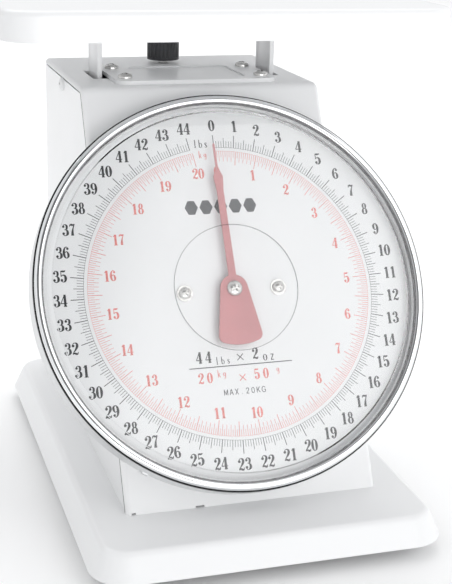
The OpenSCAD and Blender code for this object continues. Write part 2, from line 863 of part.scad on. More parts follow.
// Frame of two side arms and a web, drawn flat along -Y from its rear pivot
module stay(front_z) {
    hole_r = stay_pin_r + slack;
    slot_from = stay_reach - 0.15;
    slot_to = stay_length + 0.15;
    color(steel) translate([0, stay_rear_y, front_z - travel / 2]) rotate([-stay_angle, 0, 0])
        difference() {
            union() {
                both_sides() along_x(stay_x) linear_extrude(stay_t) {
                    circle(5);
                    translate([-stay_length, 0]) circle(5);
                    translate([-stay_length, -5]) square([stay_length, 10]);
                }
                translate([-stay_x, -28, -5]) cube([2 * stay_x, 18, 1.6]);
            }
            translate([-stay_x - 5, 0, 0]) rotate([0, 90, 0])
                cylinder(r = hole_r, h = 2 * stay_x + 10);
            along_x(-stay_x - 5) linear_extrude(2 * stay_x + 10) {
                for (y = [slot_from, slot_to]) translate([-y, 0]) circle(hole_r + 0.05);
                translate([-slot_to, -hole_r - 0.05])
                    square([slot_to - slot_from, 2 * hole_r + 0.1]);
            }
        }
}

module upper_stay() {
    stay(upper_front_z);
}

module lower_stay() {
    stay(lower_front_z);
}

// Knurled knob with a row of grip notches
module zero_knob() {
    color("#303132") translate([0, zero_y, knob_z]) difference() {
        rotate_extrude() polygon(concat([[0, 0], [knob_r, 0]],
            arc(knob_r - 1, knob_h - 1, 1, 0, 90, 4), [[0, knob_h]]));
        for (turn = [0:15:345]) rotate([0, 0, turn]) translate([knob_r + 0.3, 0, 1.5])
            cylinder(r = 0.8, h = knob_h);
        translate([0, 0, -1]) cylinder(r = zero_screw_r + 0.02, h = knob_h - 2);
    }
}

module zero_screw() {
    low = hanger_z - 6;
    color(steel) translate([0, zero_y, low]) cylinder(r = zero_screw_r, h = knob_z + 6 - low);
}

base_pan();
rubber_feet();
case_wrap();
side_panel_left();
side_panel_right();
side_screws();
back_cover();
back_screws();
top_plate();
top_plate_screws();
chassis();
chassis_screws();
spring_hanger();
hanger_screws();
zero_nut();
stay_pivot_pins();
dial_pan();
dial_face();
dial_screws();
bezel();
lens();
movement_front_plate();
movement_back_plate();
movement_pillars();
movement_screws();
rack_guides();
arbor_bushes();
left_upright();
right_upright();
lower_crossbar();
crossbar_screws();
carriage_pins();
drive_arm();
drive_arm_screws();
drive_pin();
platform_bracket();
bracket_screws();
platform();
platform_screws();
left_spring();
right_spring();
arbor();
pinion();
pointer();
pointer_screw();
rack();
upper_stay();
lower_stay();
zero_knob();
zero_screw();
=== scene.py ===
"""The looks of a mechanical dial platform scale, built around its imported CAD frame.

Lengths are in metres, except where a name or comment says mm.
"""
import json
import math

import bpy
from mathutils import Matrix, Vector


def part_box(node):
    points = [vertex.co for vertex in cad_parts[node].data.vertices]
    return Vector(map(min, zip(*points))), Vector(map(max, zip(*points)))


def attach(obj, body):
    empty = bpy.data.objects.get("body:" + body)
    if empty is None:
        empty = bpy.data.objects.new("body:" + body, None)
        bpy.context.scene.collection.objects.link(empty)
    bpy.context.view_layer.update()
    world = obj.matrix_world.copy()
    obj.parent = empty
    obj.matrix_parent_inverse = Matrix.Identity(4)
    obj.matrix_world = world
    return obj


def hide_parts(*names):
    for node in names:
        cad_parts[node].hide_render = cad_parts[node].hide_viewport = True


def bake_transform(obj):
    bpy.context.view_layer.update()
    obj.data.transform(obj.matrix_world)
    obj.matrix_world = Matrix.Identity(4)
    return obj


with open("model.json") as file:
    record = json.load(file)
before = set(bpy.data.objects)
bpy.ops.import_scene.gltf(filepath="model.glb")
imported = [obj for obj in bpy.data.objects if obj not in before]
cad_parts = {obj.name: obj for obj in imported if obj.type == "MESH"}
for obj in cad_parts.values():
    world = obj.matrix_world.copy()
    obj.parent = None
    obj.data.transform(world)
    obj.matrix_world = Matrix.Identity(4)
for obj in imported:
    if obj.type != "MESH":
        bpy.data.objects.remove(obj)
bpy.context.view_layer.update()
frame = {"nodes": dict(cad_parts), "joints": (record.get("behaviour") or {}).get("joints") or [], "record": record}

NODES = frame["nodes"]
MM = 0.001

# The two scales of the dial
FULL_LOAD_LB = 44
FULL_LOAD_KG = 20
DEGREES_PER_LB = 350 / FULL_LOAD_LB
DEGREES_PER_KG = 350.73 / FULL_LOAD_KG


def dial_frame():
    """Takes mm in the dial's own frame (X right, Y up the slope, Z out) to metres in the row frame."""
    joint = next(joint for joint in frame["joints"] if joint["name"] == "pointer_turn")
    out = -Vector(joint["axis"]).normalized()
    right = Vector((1, 0, 0))
    axes = Matrix((right, out.cross(right), out)).transposed().to_4x4()
    axes.translation = Vector(joint["pos_m"])
    return axes @ Matrix.Scale(MM, 4)


DIAL = dial_frame()


# ---------------------------------------------------------------- shader nodes

def map_range(tree, value, start, end, low=0.0, high=1.0, soft=True):
    """Maps start to end onto low to high, as a soft step or a straight ramp."""
    ramp = tree.nodes.new("ShaderNodeMapRange")
    if soft:
        ramp.interpolation_type = "SMOOTHSTEP"
    for socket, number in (("From Min", start), ("From Max", end), ("To Min", low), ("To Max", high)):
        ramp.inputs[socket].default_value = number
    tree.links.new(value, ramp.inputs["Value"])
    return ramp.outputs["Result"]


def calculate(tree, operation, first, second=0.0):
    """A Math node on sockets or plain numbers."""
    node = tree.nodes.new("ShaderNodeMath")
    node.operation = operation
    for socket, value in zip(node.inputs, (first, second)):
        if isinstance(value, (int, float)):
            socket.default_value = value
        else:
            tree.links.new(value, socket)
    return node.outputs["Value"]


class Paint:
    """A material with a Principled shader, and the few node patterns that the finishes share."""

    def __init__(self, name, color, roughness, metallic=0.0, **sockets):
        self.material = bpy.data.materials.new(name)
        self.material.use_nodes = True
        self.tree = self.material.node_tree
        self.shader = self.tree.nodes["Principled BSDF"]
        self.color = color
        self.set("Base Color", (*color, 1))
        self.set("Roughness", roughness)
        self.set("Metallic", metallic)
        for socket, value in sockets.items():
            self.set(socket.replace("_", " "), value)
        self.place = self.tree.nodes.new("ShaderNodeTexCoord").outputs["Object"]
        self.normal = None

    def set(self, socket, value):
        self.shader.inputs[socket].default_value = value

    def join(self, value, socket):
        self.tree.links.new(value, self.shader.inputs[socket])

    def stretch(self, scale):
        """Object coordinates, stretched along the axes."""
        mapping = self.tree.nodes.new("ShaderNodeMapping")
        mapping.inputs["Scale"].default_value = scale
        self.tree.links.new(self.place, mapping.inputs["Vector"])
        return mapping.outputs["Vector"]

    def dial_place(self):
        """Radius and height in the dial's own frame, in mm."""
        mapping = self.tree.nodes.new("ShaderNodeMapping")
        mapping.vector_type = "TEXTURE"
        mapping.inputs["Location"].default_value = DIAL.to_translation()
        mapping.inputs["Rotation"].default_value = DIAL.to_euler()
        mapping.inputs["Scale"].default_value = DIAL.to_scale()
        self.tree.links.new(self.place, mapping.inputs["Vector"])
        split = self.tree.nodes.new("ShaderNodeSeparateXYZ")
        self.tree.links.new(mapping.outputs["Vector"], split.inputs["Vector"])
        squares = [self.multiply(split.outputs[axis], split.outputs[axis]) for axis in "XY"]
        radius = calculate(self.tree, "SQRT", calculate(self.tree, "ADD", *squares))
        return radius, split.outputs["Z"]

    def noise(self, scale, detail=2.0, roughness=0.5, place=None):
        """Noise with a feature size of 1 / scale metres."""
        noise = self.tree.nodes.new("ShaderNodeTexNoise")
        noise.inputs["Scale"].default_value = scale
        noise.inputs["Detail"].default_value = detail
        noise.inputs["Roughness"].default_value = roughness
        self.tree.links.new(place or self.place, noise.inputs["Vector"])
        return noise.outputs["Fac"]

    def multiply(self, first, second):
        return calculate(self.tree, "MULTIPLY", first, second)

    def step(self, value, start, end):
        """0 at start and 1 at end, in a soft step."""
        return map_range(self.tree, value, start, end)

    def bell(self, value, middle, half_width):
        """1 at the middle and 0 beyond half_width."""
        offset = calculate(self.tree, "SUBTRACT", value, middle)
        return self.step(calculate(self.tree, "ABSOLUTE", offset), half_width, half_width / 2)

    def spread(self, value, low, high):
        """Maps the middle of a noise onto low to high."""
        return map_range(self.tree, value, 0.3, 0.7, low, high, soft=False)

    def mix(self, factor, first, second):
        """A colour between two colours, each a socket or a plain colour."""
        node = self.tree.nodes.new("ShaderNodeMix")
        node.data_type = "RGBA"
        self.tree.links.new(factor, node.inputs["Factor"])
        sockets = [socket for socket in node.inputs if socket.type == "RGBA"]
        for socket, value in zip(sockets, (first, second)):
            if isinstance(value, tuple):
                socket.default_value = (*value, 1)
            else:
                self.tree.links.new(value, socket)
        return next(socket for socket in node.outputs if socket.type == "RGBA")

    def tone(self, value, darker, lighter=1.0):
        """Lets a noise vary the base colour between two shares of it."""
        ramp = self.tree.nodes.new("ShaderNodeValToRGB")
        for element, share, at in zip(ramp.color_ramp.elements, (darker, lighter), (0.35, 0.65)):
            element.position = at
            element.color = (*(min(1.0, share * c) for c in self.color), 1)
        self.tree.links.new(value, ramp.inputs["Fac"])
        self.join(ramp.outputs["Color"], "Base Color")

    def gloss(self, value, low, high):
        """Lets a noise vary the roughness."""
        self.join(self.spread(value, low, high), "Roughness")

    def bump(self, value, height, strength):
        """Adds relief of a height in metres."""
        bump = self.tree.nodes.new("ShaderNodeBump")
        bump.inputs["Strength"].default_value = strength
        bump.inputs["Distance"].default_value = height
        self.tree.links.new(value, bump.inputs["Height"])
        if self.normal:
            self.tree.links.new(self.normal, bump.inputs["Normal"])
        self.normal = bump.outputs["Normal"]
        self.join(self.normal, "Normal")


# ---------------------------------------------------------------- materials

def white_paint(name="white_paint", painted_seam_shadow=False):
    """Glossy powder coat with a fine orange peel and a faint cloudiness. On the side panels a thin strip at their
    front cut edges is painted near black: painted shadow in the seams beside the front sheet.
    """
    color = (0.80, 0.805, 0.81)
    paint = Paint(name, color, 0.32, Coat_Weight=0.2, Coat_Roughness=0.2)
    if painted_seam_shadow:
        cut_edge_mm = -9
        height = paint.dial_place()[1]
        clouds = paint.mix(paint.noise(6, 2), tuple(0.99 * c for c in color), color)
        # Painted shadow: in front of cut_edge_mm the side panels are painted near black, standing for the shade in
        # the seams.
        seam_shadow_mask = paint.step(height, cut_edge_mm - 0.1, cut_edge_mm + 0.1)
        paint.join(paint.mix(seam_shadow_mask, clouds, (0.05, 0.05, 0.05)), "Base Color")
    else:
        paint.tone(paint.noise(6, 2), 0.995)
    paint.gloss(paint.noise(50, 2), 0.3, 0.35)
    paint.bump(paint.noise(500, 1), 0.000001, 0.1)
    return paint.material


def dial_card():
    """Satin printed plate with a very fine grain."""
    paint = Paint("dial_card", (0.745, 0.755, 0.763), 0.42)
    paint.tone(paint.noise(25, 2), 0.99)
    paint.gloss(paint.noise(120, 2), 0.36, 0.48)
    paint.bump(paint.noise(2500, 2), 0.00001, 0.3)
    return paint.material


def chrome_trim():
    """Polished roll above a satin wall, with painted shade in the seams at both sides of the roll: dark rings that
    stand for shadow and dark reflections there.
    """
    wall_top_mm = 7.4
    outer_seam_r_mm = 98.5
    inner_seam_r_mm = 94.3
    paint = Paint("chrome_trim", (0.86, 0.87, 0.88), 0.08, metallic=1.0)
    radius, height = paint.dial_place()
    wall = paint.step(height, wall_top_mm - 0.05, wall_top_mm - 0.3)
    above_wall = paint.step(height, wall_top_mm - 0.2, wall_top_mm - 0.05)
    # Painted shade: a near-black ring at outer_seam_r_mm above the wall, standing for shadow and dark reflection
    # in the crease.
    outer_seam_painted_shade = paint.multiply(paint.bell(radius, outer_seam_r_mm, 0.5), above_wall)
    # Painted shade: the inner lip is darkened inward of inner_seam_r_mm, standing for the shadow gap at the
    # window.
    inner_seam_painted_shade = paint.step(radius, inner_seam_r_mm + 1, inner_seam_r_mm)
    metal = paint.mix(paint.noise(90, 3), (0.80, 0.81, 0.82), (0.88, 0.89, 0.90))
    with_wall = paint.mix(wall, metal, (0.72, 0.725, 0.73))
    shaded = paint.mix(inner_seam_painted_shade, with_wall, (0.3, 0.3, 0.305))
    paint.join(paint.mix(outer_seam_painted_shade, shaded, (0.06, 0.06, 0.062)), "Base Color")
    roughness = paint.spread(paint.noise(700, 4, 0.7), 0.05, 0.13)
    paint.join(calculate(paint.tree, "MAXIMUM", roughness, paint.multiply(wall, 0.42)), "Roughness")
    paint.bump(paint.noise(40, 1), 0.00003, 0.2)
    paint.bump(paint.noise(1800, 3), 0.000004, 0.3)
    return paint.material


def clear_lens():
    """Clear moulded window that lamps shine through, with the faintest ripple."""
    paint = Paint("clear_lens", (1.0, 1.0, 1.0), 0.015, IOR=1.49, Transmission_Weight=1.0)
    paint.bump(paint.noise(9, 1), 0.00002, 0.1)
    nodes, links = paint.tree.nodes, paint.tree.links
    path = nodes.new("ShaderNodeLightPath")
    clear = nodes.new("ShaderNodeBsdfTransparent")
    mix = nodes.new("ShaderNodeMixShader")
    links.new(path.outputs["Is Shadow Ray"], mix.inputs["Fac"])
    links.new(paint.shader.outputs["BSDF"], mix.inputs[1])
    links.new(clear.outputs["BSDF"], mix.inputs[2])
    links.new(mix.outputs["Shader"], nodes["Material Output"].inputs["Surface"])
    return paint.material


def zinc_steel():
    """Zinc-plated sheet with rolling lines and soft spangle."""
    paint = Paint("zinc_steel", (0.60, 0.61, 0.63), 0.35, metallic=0.9)
    paint.tone(paint.noise(70, 4, 0.6), 0.86, 1.06)
    paint.gloss(paint.noise(220, 3), 0.28, 0.46)
    paint.bump(paint.noise(300, 2, place=paint.stretch((1, 1, 0.06))), 0.00001, 0.4)
    return paint.material


def screw_steel():
    """Nickel plating with fine tool marks."""
    paint = Paint("screw_steel", (0.66, 0.655, 0.64), 0.2, metallic=1.0)
    paint.tone(paint.noise(500, 3), 0.85, 1.04)
    paint.gloss(paint.noise(1200, 3), 0.14, 0.3)
    paint.bump(paint.noise(1500, 2), 0.000008, 0.4)
    return paint.material


def bright_steel():
    """Ground round bar with rings left by the wheel."""
    paint = Paint("bright_steel", (0.63, 0.63, 0.64), 0.22, metallic=1.0)
    paint.tone(paint.noise(400, 2), 0.9, 1.03)
    paint.gloss(paint.noise(900, 2), 0.15, 0.3)
    paint.bump(paint.noise(1200, 1, place=paint.stretch((2, 0.1, 0.1))), 0.000006, 0.4)
    return paint.material


def spring_steel():
    """Drawn and oiled spring wire."""
    paint = Paint("spring_steel", (0.33, 0.34, 0.36), 0.32, metallic=1.0)
    paint.tone(paint.noise(260, 3), 0.75, 1.1)
    paint.gloss(paint.noise(600, 2), 0.24, 0.42)
    paint.bump(paint.noise(2200, 2), 0.000008, 0.4)
    return paint.material


def brass():
    """Turned brass."""
    paint = Paint("brass", (0.74, 0.55, 0.26), 0.25, metallic=1.0)
    paint.tone(paint.noise(300, 3), 0.86, 1.05)
    paint.gloss(paint.noise(800, 2), 0.2, 0.34)
    paint.bump(paint.noise(1600, 1, place=paint.stretch((0.2, 1, 1))), 0.000006, 0.4)
    return paint.material


def red_paint():
    """Dull red lacquer on the pointer."""
    paint = Paint("red_paint", (0.5, 0.205, 0.215), 0.4)
    paint.tone(paint.noise(90, 3), 0.93, 1.04)
    paint.gloss(paint.noise(300, 2), 0.34, 0.5)
    paint.bump(paint.noise(900, 2), 0.00001, 0.3)
    return paint.material


def black_rubber():
    """Matt moulded rubber with a dusty bloom."""
    paint = Paint("black_rubber", (0.035, 0.035, 0.037), 0.75)
    paint.tone(paint.noise(180, 4), 0.8, 1.6)
    paint.gloss(paint.noise(400, 2), 0.65, 0.88)
    paint.bump(paint.noise(1400, 3), 0.00003, 0.5)
    return paint.material


def black_plastic():
    """Moulded plastic with a spark-eroded grain."""
    paint = Paint("black_plastic", (0.03, 0.031, 0.034), 0.48)
    paint.tone(paint.noise(220, 3), 0.85, 1.4)
    paint.gloss(paint.noise(500, 2), 0.4, 0.58)
    paint.bump(paint.noise(2000, 3), 0.00003, 0.5)
    return paint.material


def nylon():
    """Natural nylon, slightly translucent."""
    paint = Paint("nylon", (0.78, 0.765, 0.70), 0.4, Subsurface_Weight=0.15, Subsurface_Scale=0.002)
    paint.tone(paint.noise(120, 2), 0.95, 1.02)
    paint.gloss(paint.noise(300, 2), 0.34, 0.5)
    paint.bump(paint.noise(1000, 2), 0.00001, 0.3)
    return paint.material


def ink(name, color):
    """Screen-printed ink: a slightly uneven film."""
    paint = Paint(name, color, 0.4)
    paint.tone(paint.noise(900, 3), 0.85, 1.15)
    paint.gloss(paint.noise(1500, 2), 0.32, 0.5)
    paint.bump(paint.noise(3000, 2), 0.000004, 0.4)
    return paint.material


def floor_paint():
    """Plain pale floor."""
    paint = Paint("studio_floor", (0.97, 0.97, 0.97), 0.9)
    paint.tone(paint.noise(2, 2), 0.995)
    paint.bump(paint.noise(150, 2), 0.0001, 0.05)
    return paint.material


MATERIALS = {
    "white_paint": white_paint(),
    # side_paint carries painted shadow in the seams at the side panels' front.
    "side_paint": white_paint("side_paint", painted_seam_shadow=True),
    "dial_card": dial_card(),
    "chrome_trim": chrome_trim(),
    "clear_lens": clear_lens(),
    "zinc_steel": zinc_steel(),
    "screw_steel": screw_steel(),
    "bright_steel": bright_steel(),
    "spring_steel": spring_steel(),
    "brass": brass(),
    "red_paint": red_paint(),
    "black_rubber": black_rubber(),
    "black_plastic": black_plastic(),
    "nylon": nylon(),
    "black_ink": ink("black_ink", (0.022, 0.024, 0.028)),
    "red_ink": ink("red_ink", (0.66, 0.2, 0.18)),
    "grey_ink": ink("grey_ink", (0.055, 0.06, 0.068)),
}


# ---------------------------------------------------------------- mesh helpers

def mesh_object(name, verts, faces, place=None):
    """A mesh object in the scene. A place takes its points from the dial's frame."""
    if place is not None:
        verts = [place @ Vector(v) for v in verts]
    mesh = bpy.data.meshes.new(name)
    mesh.from_pydata([tuple(v) for v in verts], [], faces)
    piece = bpy.data.objects.new(name, mesh)
    bpy.context.scene.collection.objects.link(piece)
    return piece


def new_piece(name, verts, faces, slot, body=None, place=None):
    """A mesh piece in the finish of a record slot. It may ride on a body."""
    piece = mesh_object(name, verts, faces, place)
    piece.data.validate()
    piece.data.materials.append(MATERIALS[slot])
    if body:
        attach(piece, body)
    return piece


def smooth_by_angle(piece, degrees, bevel=0.0, weld=True):
    """Smooth shading that keeps sharp edges, with an optional small bevel on them."""
    mesh = piece.data
    if "custom_normal" in mesh.attributes:
        mesh.attributes.remove(mesh.attributes["custom_normal"])
    mesh.polygons.foreach_set("use_smooth", [True] * len(mesh.polygons))
    if weld:
        piece.modifiers.new("weld", "WELD").merge_threshold = 0.002 * MM
    if bevel:
        rounding = piece.modifiers.new("bevel", "BEVEL")
        rounding.width = bevel
        rounding.segments = 2
        rounding.limit_method = "ANGLE"
        rounding.angle_limit = math.radians(50)
    split = piece.modifiers.new("split", "EDGE_SPLIT")
    split.split_angle = math.radians(degrees)
    weighted = piece.modifiers.new("weighted", "WEIGHTED_NORMAL")
    weighted.mode = "FACE_AREA"
    weighted.weight = 100


def circle(x, y, radius, count=32):
    turns = [2 * math.pi * i / count for i in range(count)]
    return [(x + radius * math.cos(a), y + radius * math.sin(a)) for a in turns]


def rectangle(x0, y0, x1, y1):
    return [(x0, y0), (x1, y0), (x1, y1), (x0, y1)]


def prism(outline, low, high):
    """Vertices and faces of an upright prism over an outline."""
    count = len(outline)
    verts = [(x, y, z) for z in (low, high) for x, y in outline]
    faces = [tuple(reversed(range(count))), tuple(range(count, 2 * count))]
    faces += [(i, (i + 1) % count, count + (i + 1) % count, count + i) for i in range(count)]
    return verts, faces


def revolved(profile, count=240):
    """Vertices and faces of a ring turned from a closed profile of (radius, z)."""
    turns = [2 * math.pi * i / count for i in range(count)]
    verts = [(r * math.cos(a), r * math.sin(a), z) for a in turns for r, z in profile]
    size = len(profile)
    faces = [(size * i + k, size * ((i + 1) % count) + k,
              size * ((i + 1) % count) + (k + 1) % size, size * i + (k + 1) % size)
             for i in range(count) for k in range(size)]
    return verts, faces


def spline(points, closed=False, steps=4):
    """Points on a smooth curve through points of any number of coordinates."""
    count = len(points)
    if count == 2:
        return points

    def at(i):
        return points[i % count] if closed else points[min(max(i, 0), count - 1)]

    curve = []
    for i in range(count if closed else count - 1):
        a, b, c, d = at(i - 1), at(i), at(i + 1), at(i + 2)
        for step in range(steps):
            t = step / steps
            curve.append(tuple(
                0.5 * (2 * q + (r - p) * t + (2 * p - 5 * q + 4 * r - s) * t ** 2
                       + (3 * q - p - 3 * r + s) * t ** 3)
                for p, q, r, s in zip(a, b, c, d)))
    if not closed:
        curve.append(points[-1])
    return curve


def tube(path, radius, sides=10):
    """Vertices and faces of a capped tube along a path."""
    path = [Vector(p) for p in path]
    verts, faces = [], []
    across = path[1] - path[0]
    across = across.normalized().orthogonal().normalized()
    for i, point in enumerate(path):
        along = (path[min(i + 1, len(path) - 1)] - path[max(i - 1, 0)]).normalized()
        across = (across - along * across.dot(along)).normalized()
        third = along.cross(across)
        for k in range(sides):
            turn = 2 * math.pi * k / sides
            verts.append(point + radius * (math.cos(turn) * across + math.sin(turn) * third))
    for i in range(len(path) - 1):
        for k in range(sides):
            here, after = i * sides + k, i * sides + (k + 1) % sides
            faces.append((here, after, after + sides, here + sides))
    last = (len(path) - 1) * sides
    faces.append(tuple(reversed(range(sides))))
    faces.append(tuple(range(last, last + sides)))
    return verts, faces


def carve(piece, cutters):
    """Cuts closed meshes out of a piece, for good."""
    for cutter in cutters:
        cut = piece.modifiers.new("cut", "BOOLEAN")
        cut.operation = "DIFFERENCE"
        cut.solver = "EXACT"
        cut.object = cutter
    bpy.context.view_layer.update()
    graph = bpy.context.evaluated_depsgraph_get()
    mesh = bpy.data.meshes.new_from_object(piece.evaluated_get(graph))
    piece.modifiers.clear()
    piece.data = mesh
    for cutter in cutters:
        bpy.data.objects.remove(cutter)


# ---------------------------------------------------------------- case

SHEET = 1.2 * MM


def shell_section(half_w):
    """Outline of the bent sheet in cross-section, as points of (x, depth below the outside)."""
    edge_r = 2.5 * MM
    lip = 2.5 * MM
    arc_steps = 6
    turns = [i / arc_steps * math.pi / 2 for i in range(arc_steps + 1)]

    def corner(radius):
        return [(half_w - edge_r + radius * math.sin(a), edge_r - radius * math.cos(a)) for a in turns]

    outer = corner(edge_r) + [(half_w, lip)]
    inner = [(half_w - SHEET, lip)] + corner(edge_r - SHEET)[::-1]
    return ([(-x, depth) for x, depth in reversed(outer)] + outer
            + inner + [(-x, depth) for x, depth in reversed(inner)])


def shell_stations(low, high):
    """Places along the sheet from its foot to its back, each of which takes a depth to (y, z)."""
    up_slope = DIAL.col[1]
    lean = math.atan2(up_slope.y, up_slope.z)
    bend_r = 6 * MM
    bend_z = high.z - bend_r
    bend_y = low.y + (bend_z - low.z) * math.tan(lean) + bend_r / math.cos(lean)
    bend_steps = 12
    turns = [math.pi - lean + (lean - math.pi / 2) * i / bend_steps for i in range(bend_steps + 1)]

    def in_bend(turn):
        return lambda depth: (bend_y + (bend_r - depth) * math.cos(turn),
                              bend_z + (bend_r - depth) * math.sin(turn))

    def foot(depth):
        return low.y + depth / math.cos(lean), low.z

    def back(depth):
        return high.y, high.z - depth

    return [foot] + [in_bend(turn) for turn in turns] + [back]


def shell_cutters(low, high):
    """What is cut out of the sheet, at the same places in mm as in the CAD's front and top sheet."""
    pivot_hole_r = 10
    dial_screw_x, dial_screw_hole_r = 24, 1.7
    slot_x, slot_y = (41, 51), (24, 52)
    plate_screw_x, plate_screw_y, plate_screw_hole_r = 36.7, (13, 46), 1.8
    zero_y, zero_hole_r = 78, 3
    notches, notch_h = ((-60.5, 2), (-29.5, 4.5)), 0.8

    def through_front(x, radius):
        return mesh_object("cutter", *prism(circle(x, 0, radius), -12, 0), DIAL)

    def through_top(outline):
        outline = [(x * MM, y * MM) for x, y in outline]
        return mesh_object("cutter", *prism(outline, high.z - 10 * MM, high.z + 10 * MM))

    def notch(x, width):
        outline = rectangle(x * MM, low.y - 20 * MM, (x + width) * MM, low.y + 20 * MM)
        return mesh_object("cutter", *prism(outline, low.z - 2 * MM, low.z + notch_h * MM))

    cutters = [through_front(0, pivot_hole_r)]
    cutters += [through_front(side * dial_screw_x, dial_screw_hole_r) for side in (-1, 1)]
    for side in (-1, 1):
        x0, x1 = sorted(side * x for x in slot_x)
        cutters.append(through_top(rectangle(x0, slot_y[0], x1, slot_y[1])))
        for y in plate_screw_y:
            cutters.append(through_top(circle(side * plate_screw_x, y, plate_screw_hole_r)))
    cutters.append(through_top(circle(0, zero_y, zero_hole_r)))
    cutters += [notch(x, width) for x, width in notches]
    return cutters


def case_shell():
    """The bent front and top sheet, with rounded side edges that turn into a short lip."""
    low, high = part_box("case_wrap")
    section = shell_section(high.x)
    stations = shell_stations(low, high)
    count = len(section)
    verts = [(x, *station(depth)) for station in stations for x, depth in section]
    faces = [(s * count + i, s * count + (i + 1) % count,
              (s + 1) * count + (i + 1) % count, (s + 1) * count + i)
             for s in range(len(stations) - 1) for i in range(count)]
    foot_end = [(i, i + 1, count - 2 - i, count - 1 - i) for i in range(count // 2 - 1)]
    last = (len(stations) - 1) * count
    faces += [face[::-1] for face in foot_end]
    faces += [tuple(last + i for i in face) for face in foot_end]
    piece = new_piece("case_shell", verts, faces, "white_paint")
    carve(piece, shell_cutters(low, high))
    smooth_by_angle(piece, 30, weld=False)
    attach(piece, "case")
    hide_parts("case_wrap")


# ---------------------------------------------------------------- springs

def weight_spring(node):
    """A wound extension spring with an end that turns over its hanger at each side."""
    low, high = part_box(node)
    centre_x, centre_y = (low.x + high.x) / 2, (low.y + high.y) / 2
    wire_r = 1.1 * MM
    coil_r = (high.x - low.x) / 2 - wire_r
    coil_top, coil_bottom = 174 * MM, 116 * MM
    turns = 22
    steps = 16

    def end(sign, z, coil_z):
        """From the tip in its hanger at z, round a bend, to the coil."""
        bend = 2 * MM
        return [(4.9 * MM, 0, z), (bend, 0, z), (0.3 * bend, 0, z - sign * 0.3 * bend),
                (0, 0, z - sign * bend), (0, 0, coil_z + sign * 4 * MM),
                (coil_r * 0.45, 0, coil_z + sign * 1.2 * MM)]

    helix = []
    for i in range(turns * steps + 1):
        turn = 2 * math.pi * i / steps
        z = coil_top - (coil_top - coil_bottom) * i / (turns * steps)
        helix.append((coil_r * math.cos(turn), coil_r * math.sin(turn), z))
    upper = spline(end(1, high.z - wire_r, coil_top))
    lower = spline(end(-1, low.z + wire_r, coil_bottom))
    path = [(centre_x + x, centre_y + y, z) for x, y, z in upper[:-1] + helix + lower[-2::-1]]
    piece = new_piece(node + "_coil", *tube(path, wire_r), "spring_steel")
    smooth_by_angle(piece, 60, weld=False)
    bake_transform(piece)
    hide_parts(node)


# ---------------------------------------------------------------- window

def lens_mark():
    """The fine dark line in the moulded circle of the window, in mm in the dial's frame."""
    radius, half_w, top, depth = 31.2, 0.08, 9.55, 0.12
    profile = rectangle(radius - half_w, top - depth, radius + half_w, top)
    piece = new_piece("lens_mark", *revolved(profile), "grey_ink", "case", DIAL)
    smooth_by_angle(piece, 30, weld=False)


# ---------------------------------------------------------------- printing on the dial

INK_T = 0.05  # in mm
BOLD = 1.3  # how much wider the figures' strokes are than they are drawn below
PEN = 0.12  # the plain capitals' stroke, as a share of their height


def ring(x, y, half_w, half_h, thin, thick):
    """A closed stroke round an oval: thick at its sides and thin above and below."""
    middle = (thin + thick) / 2
    shares = [(0, 1, thin), (0.75, 0.72, middle), (1, 0, thick), (0.75, -0.72, middle)]
    right = [(x + half_w * u, y + half_h * v, w) for u, v, w in shares]
    left = [(x - half_w * u, y - half_h * v, w) for u, v, w in shares]
    return ("loop", right + left)


def line(*points):
    return ("line", list(points))


def dot(x, y, radius):
    return ("dot", (x, y, radius))


